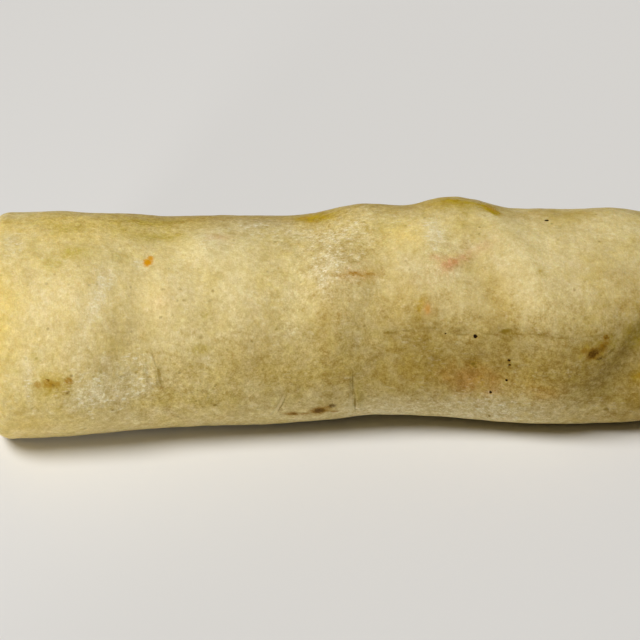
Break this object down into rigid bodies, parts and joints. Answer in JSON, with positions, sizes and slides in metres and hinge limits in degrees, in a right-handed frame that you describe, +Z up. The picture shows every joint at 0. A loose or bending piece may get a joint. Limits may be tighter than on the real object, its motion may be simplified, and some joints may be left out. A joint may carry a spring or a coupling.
{
  "type": "chicken tikka wrap",
  "caption": "Whole rolled wrap in a soft flour tortilla, both ends folded in, lying on its flattened underside, lumpy from the filling inside.",
  "frame": {"origin": "on the surface it lies on, under the middle of its bounding box", "axes": "+X along the roll, +Y towards its back, where the tortilla's free edge lies, +Z up"},
  "size_m": [0.175, 0.0644, 0.0536],
  "materials": {
    "tortilla": "soft matt wheat tortilla, pale cream yellow, floury, with a few brown toasted spots"
  },
  "bodies": {
    "root": {"tortilla_wrap": "tortilla"}
  },
  "joints": []
}
